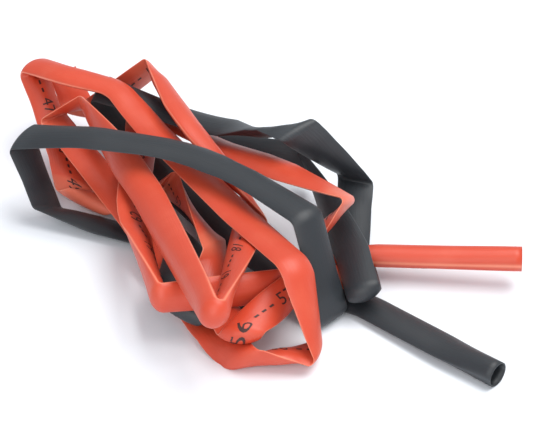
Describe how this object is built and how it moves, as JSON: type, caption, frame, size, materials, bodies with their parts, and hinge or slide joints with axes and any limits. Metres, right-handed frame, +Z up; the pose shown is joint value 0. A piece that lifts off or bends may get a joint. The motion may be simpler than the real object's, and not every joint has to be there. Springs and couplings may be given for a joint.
{
  "type": "heat shrink tube",
  "caption": "Loose hank of thin-walled red and black heat shrink tube, flattened and folded back and forth, with one round open end of each sticking out.",
  "frame": {"origin": "centre of the bounding box in X and Y, on the floor plane the hank lies on", "axes": "+Z up from the floor, +X along the two free ends that stick out, which is also the longest side, +Y towards the back of the hank as pictured"},
  "size_m": [0.1502, 0.1348, 0.0339],
  "materials": {
    "red_polyolefin": "soft satin, flattened and creased",
    "black_polyolefin": "soft satin, flattened and creased"
  },
  "bodies": {
    "root": {"red_tube": "red_polyolefin", "black_tube": "black_polyolefin"}
  },
  "joints": []
}
